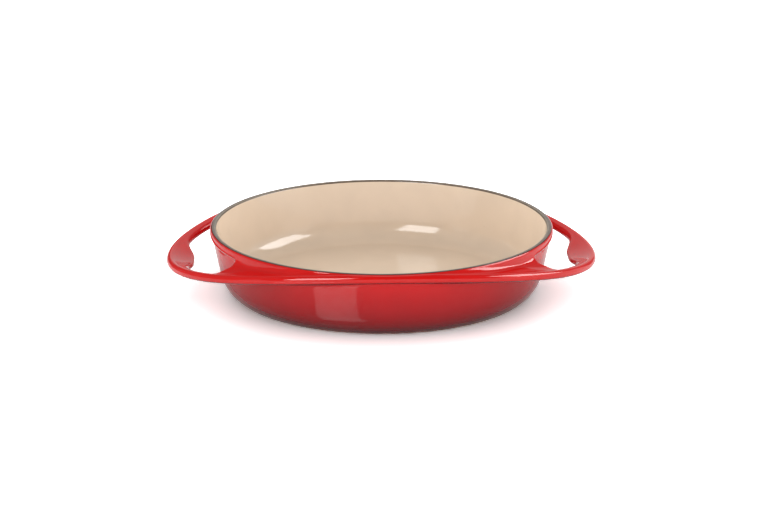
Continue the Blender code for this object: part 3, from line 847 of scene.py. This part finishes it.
def seen_or_lit(tree, seen_value, lit_value):
    """One value for rays from the eye, also by way of a mirror or through glass, and another for light."""
    path = add(tree, "ShaderNodeLightPath", {})
    seen = add(tree, "ShaderNodeMath", {0: path.outputs["Is Camera Ray"], 1: path.outputs["Is Glossy Ray"]})
    seen = add(tree, "ShaderNodeMath", {0: seen, 1: path.outputs["Is Transmission Ray"]}, use_clamp=True)
    return add(tree, "ShaderNodeMapRange", {"Value": seen, "To Min": lit_value, "To Max": seen_value})


def build_world(settings):
    """A white tent round the dish, which looks white and lights more from its sides than from above."""
    world = bpy.data.worlds.new("White studio")
    world.use_nodes = True
    tree = world.node_tree
    direction = add(tree, "ShaderNodeTexCoord", {}).outputs["Generated"]
    upward = add(tree, "ShaderNodeSeparateXYZ", {0: direction}).outputs["Z"]
    tent = add(tree, "ShaderNodeMapRange",
               {"Value": upward, "To Min": settings.sides, "To Max": settings.overhead})
    put(tree, tree.nodes["Background"], {"Color": WHITE, "Strength": seen_or_lit(tree, 1.0, tent)})
    bpy.context.scene.world = world


def flat_sheet(name, centre, across, up, material):
    """A rectangle of the stage round a centre, given half its sides as vectors."""
    centre, across, up = Vector(centre), Vector(across), Vector(up)
    corners = [centre - across - up, centre + across - up, centre + across + up, centre - across + up]
    mesh = bpy.data.meshes.new(name)
    mesh.from_pydata([tuple(corner) for corner in corners], [], [(0, 1, 2, 3)])
    mesh.materials.append(material)
    sheet = bpy.data.objects.new(name, mesh)
    bpy.context.scene.collection.objects.link(sheet)
    return sheet


def build_floor(settings):
    """White floor that keeps the dish's shadow."""
    made, tree, shader = new_material("White paper sweep, matt")
    path = add(tree, "ShaderNodeLightPath", {})
    # It looks brighter than it lights, most of all away from the dish, as on a photograph that clips to
    # white; being brightened less beside the foot, the floor there carries a painted shadow round the dish
    radius = radius_at(tree, surface_place(tree))
    seen = add(tree, "ShaderNodeMapRange",
               {**grows(radius, 0.0, PAINTED_SHADOW_RING), "To Min": PAPER_WHITE * settings.paper_near,
                "To Max": PAPER_WHITE * settings.paper_away})
    otherwise = seen_or_lit(tree, PAPER_WHITE * settings.paper_mirrored, PAPER_WHITE)
    paper = add(tree, "ShaderNodeMapRange",
                {"Value": path.outputs["Is Camera Ray"], "To Min": otherwise, "To Max": seen})
    put(tree, shader, {"Base Color": paper, "Roughness": 1.0, "Specular IOR Level": 0.0})
    # Only the dish sees its gloss, so that no mirror image lies in front of it
    gloss = add(tree, "ShaderNodeBsdfGlossy", {"Color": WHITE, "Roughness": 0.06})
    share = add(tree, "ShaderNodeMath", {0: path.outputs["Is Glossy Ray"], 1: settings.gloss},
                operation="MULTIPLY")
    both = add(tree, "ShaderNodeMixShader", {0: share, 1: shader, 2: gloss})
    put(tree, tree.nodes["Material Output"], {"Surface": both})
    half = STUDIO_FLOOR_HALF
    flat_sheet("studio_floor", (0, 0, -STUDIO_FLOOR_BELOW), (half, 0, 0), (0, half, 0), made)


def hung(name, angles, distance, material):
    """A sheet that faces the dish and only reflections see, placed by its angles as seen from the dish."""
    azimuth, elevation, width, height = angles
    out = toward(azimuth, elevation)
    aside = toward(azimuth + 90, 0)
    across = aside * distance * math.tan(math.radians(width / 2))
    up = out.cross(aside) * distance * math.tan(math.radians(height / 2))
    # Turned upside down, so that its front faces the dish
    sheet = flat_sheet(name, out * distance, across, -up, material)
    sheet.visible_camera = sheet.visible_diffuse = sheet.visible_shadow = False


def glowing(name, strength, gridded=False):
    """The material of a sheet that glows.

    A grid keeps it off the floor, so only what mirrors it at first hand shows it.
    """
    made, tree, shader = new_material(name)
    if gridded:
        path = add(tree, "ShaderNodeLightPath", {})
        first = add(tree, "ShaderNodeMath", {0: path.outputs["Ray Depth"], 1: FIRST_REFLECTION},
                    operation="LESS_THAN")
        strength = add(tree, "ShaderNodeMath", {0: first, 1: strength}, operation="MULTIPLY")
    put(tree, shader, {"Base Color": BLACK, "Specular IOR Level": 0.0, "Emission Color": WHITE,
                       "Emission Strength": strength})
    return made


def build_lamp(name, angles, distance, radiance):
    """A rectangular lamp that lights without a highlight of its own."""
    azimuth, elevation, width, height = angles
    data = bpy.data.lights.new(name, "AREA")
    data.shape = "RECTANGLE"
    data.size = 2 * distance * math.tan(math.radians(width / 2))
    data.size_y = 2 * distance * math.tan(math.radians(height / 2))
    data.energy = radiance * math.pi * data.size * data.size_y
    lamp = bpy.data.objects.new(name, data)
    bpy.context.scene.collection.objects.link(lamp)
    direction = toward(azimuth, elevation)
    lamp.location = direction * distance
    lamp.rotation_euler = direction.to_track_quat("Z", "Y").to_euler()
    lamp.visible_glossy = False


def build_camera(sizes):
    """Stands the camera where the photograph's stood."""
    data = bpy.data.cameras.new("camera")
    data.sensor_width = SENSOR_WIDTH
    data.lens = FOCAL_PIXELS * SENSOR_WIDTH / IMAGE_SIZE[0]
    camera = bpy.data.objects.new("camera", data)
    bpy.context.scene.collection.objects.link(camera)
    level = CAMERA_DISTANCE * math.cos(CAMERA_ELEVATION)
    camera.location = (-level * math.sin(CAMERA_TURN), -level * math.cos(CAMERA_TURN),
                       sizes.height + CAMERA_DISTANCE * math.sin(CAMERA_ELEVATION))
    aside = math.atan((IMAGE_SIZE[0] / 2 - RIM_CENTRE_PIXEL[0]) / FOCAL_PIXELS)
    above = math.atan((IMAGE_SIZE[1] / 2 - RIM_CENTRE_PIXEL[1]) / FOCAL_PIXELS)
    camera.rotation_euler = (math.pi / 2 - CAMERA_ELEVATION - above, 0, -CAMERA_TURN - aside)
    bpy.context.scene.camera = camera


class DishOperator:
    """What the operators share: undo, and the settings kept on the scene."""

    bl_options = {"REGISTER", "UNDO"}

    @property
    def sizes(self):
        return bpy.context.scene.dish_sizes

    @property
    def colours(self):
        return bpy.context.scene.dish_colours


class DISH_OT_form_skin(DishOperator, bpy.types.Operator):
    """Lofts and subdivides the skin that every piece is peeled from"""

    bl_idname = "dish.form_skin"
    bl_label = "Form the Skin"

    def execute(self, context):
        skin_mesh(self.sizes)
        return {"FINISHED"}


class DISH_OT_iron_body(DishOperator, bpy.types.Operator):
    """Makes the iron casting under the coats"""

    bl_idname = "dish.iron_body"
    bl_label = "Iron Body"

    def execute(self, context):
        piece = peel("iron_body", COATS, COAT_THICKNESS + IRON_GAP, 0.0)
        finish_piece(piece, "iron_casting", cast_iron(self.colours))
        return {"FINISHED"}


class DISH_OT_red_coat(DishOperator, bpy.types.Operator):
    """Makes the red enamel on the outside and the handles"""

    bl_idname = "dish.red_coat"
    bl_label = "Red Coat"

    def execute(self, context):
        piece = peel("red_coat", ("outside",), 0.0, COAT_THICKNESS)
        finish_piece(piece, "outside_enamel", red_enamel(self.sizes, self.colours))
        return {"FINISHED"}


class DISH_OT_sand_coat(DishOperator, bpy.types.Operator):
    """Makes the sand-coloured enamel inside the bowl"""

    bl_idname = "dish.sand_coat"
    bl_label = "Sand Coat"

    def execute(self, context):
        piece = peel("sand_coat", ("inside",), 0.0, COAT_THICKNESS)
        finish_piece(piece, "inside_enamel", sand_enamel(self.sizes, self.colours))
        return {"FINISHED"}


class DISH_OT_rim_coat(DishOperator, bpy.types.Operator):
    """Makes the grey band along the rim"""

    bl_idname = "dish.rim_coat"
    bl_label = "Rim Band"

    def execute(self, context):
        piece = peel("rim_coat", ("rim",), 0.0, COAT_THICKNESS)
        finish_piece(piece, "rim_band", rim_ground_coat(self.sizes, self.colours))
        return {"FINISHED"}


class DISH_OT_foot_ground(DishOperator, bpy.types.Operator):
    """Makes the ground coat under the foot"""

    bl_idname = "dish.foot_ground"
    bl_label = "Foot Coat"

    def execute(self, context):
        piece = peel("foot_ground", ("foot",), 0.0, COAT_THICKNESS)
        finish_piece(piece, "foot_coat", foot_ground_coat(self.colours))
        return {"FINISHED"}


class DISH_OT_studio(DishOperator, bpy.types.Operator):
    """Sets up the floor, the light and the camera"""

    bl_idname = "dish.studio"
    bl_label = "Studio"

    def execute(self, context):
        settings = context.scene.dish_studio
        build_world(settings)
        build_floor(settings)
        for name, (*angles, gridded) in SOFTBOXES.items():
            build_lamp(name + "_lamp", angles, settings.distance, settings.softboxes)
            panel = glowing("White diffuser of a softbox", settings.panels, gridded)
            hung(name, angles, settings.distance, panel)
        build_lamp("backdrop_lamp", BACKDROP, BACKDROP_AWAY * settings.distance, settings.backdrop)
        # The cloths are glowing sheets: painted reflections, which light nothing
        for name, (*angles, brightness) in CLOTHS.items():
            hung(name, angles, CLOTH_DISTANCE, glowing("Studio cloth, glowing, for painted reflections", brightness))
        build_camera(self.sizes)
        context.scene.view_settings.view_transform = "Standard"
        return {"FINISHED"}


class DISH_PT_panel(bpy.types.Panel):
    """The dish's pieces and settings"""

    bl_label = "Tatin Dish"
    bl_idname = "DISH_PT_panel"
    bl_space_type = "VIEW_3D"
    bl_region_type = "UI"
    bl_category = "Tatin Dish"

    def draw(self, context):
        layout = self.layout
        for operator in OPERATORS:
            layout.operator(operator.bl_idname)
        for group in (context.scene.dish_sizes, context.scene.dish_colours, context.scene.dish_studio):
            box = layout.box()
            for name in group.bl_rna.properties.keys():
                if name not in ("rna_type", "name"):
                    box.prop(group, name)


OPERATORS = (
    DISH_OT_form_skin,
    DISH_OT_iron_body,
    DISH_OT_red_coat,
    DISH_OT_sand_coat,
    DISH_OT_rim_coat,
    DISH_OT_foot_ground,
    DISH_OT_studio,
)
CLASSES = (DishSizes, DishColours, StudioSettings, *OPERATORS, DISH_PT_panel)


def register():
    for each in CLASSES:
        bpy.utils.register_class(each)
    bpy.types.Scene.dish_sizes = PointerProperty(type=DishSizes)
    bpy.types.Scene.dish_colours = PointerProperty(type=DishColours)
    bpy.types.Scene.dish_studio = PointerProperty(type=StudioSettings)


def unregister():
    del bpy.types.Scene.dish_studio
    del bpy.types.Scene.dish_colours
    del bpy.types.Scene.dish_sizes
    for each in reversed(CLASSES):
        bpy.utils.unregister_class(each)


def main():
    register()
    bpy.ops.dish.form_skin()
    bpy.ops.dish.iron_body()
    bpy.ops.dish.red_coat()
    bpy.ops.dish.sand_coat()
    bpy.ops.dish.rim_coat()
    bpy.ops.dish.foot_ground()
    bpy.ops.dish.studio()


if __name__ == "__main__":
    main()
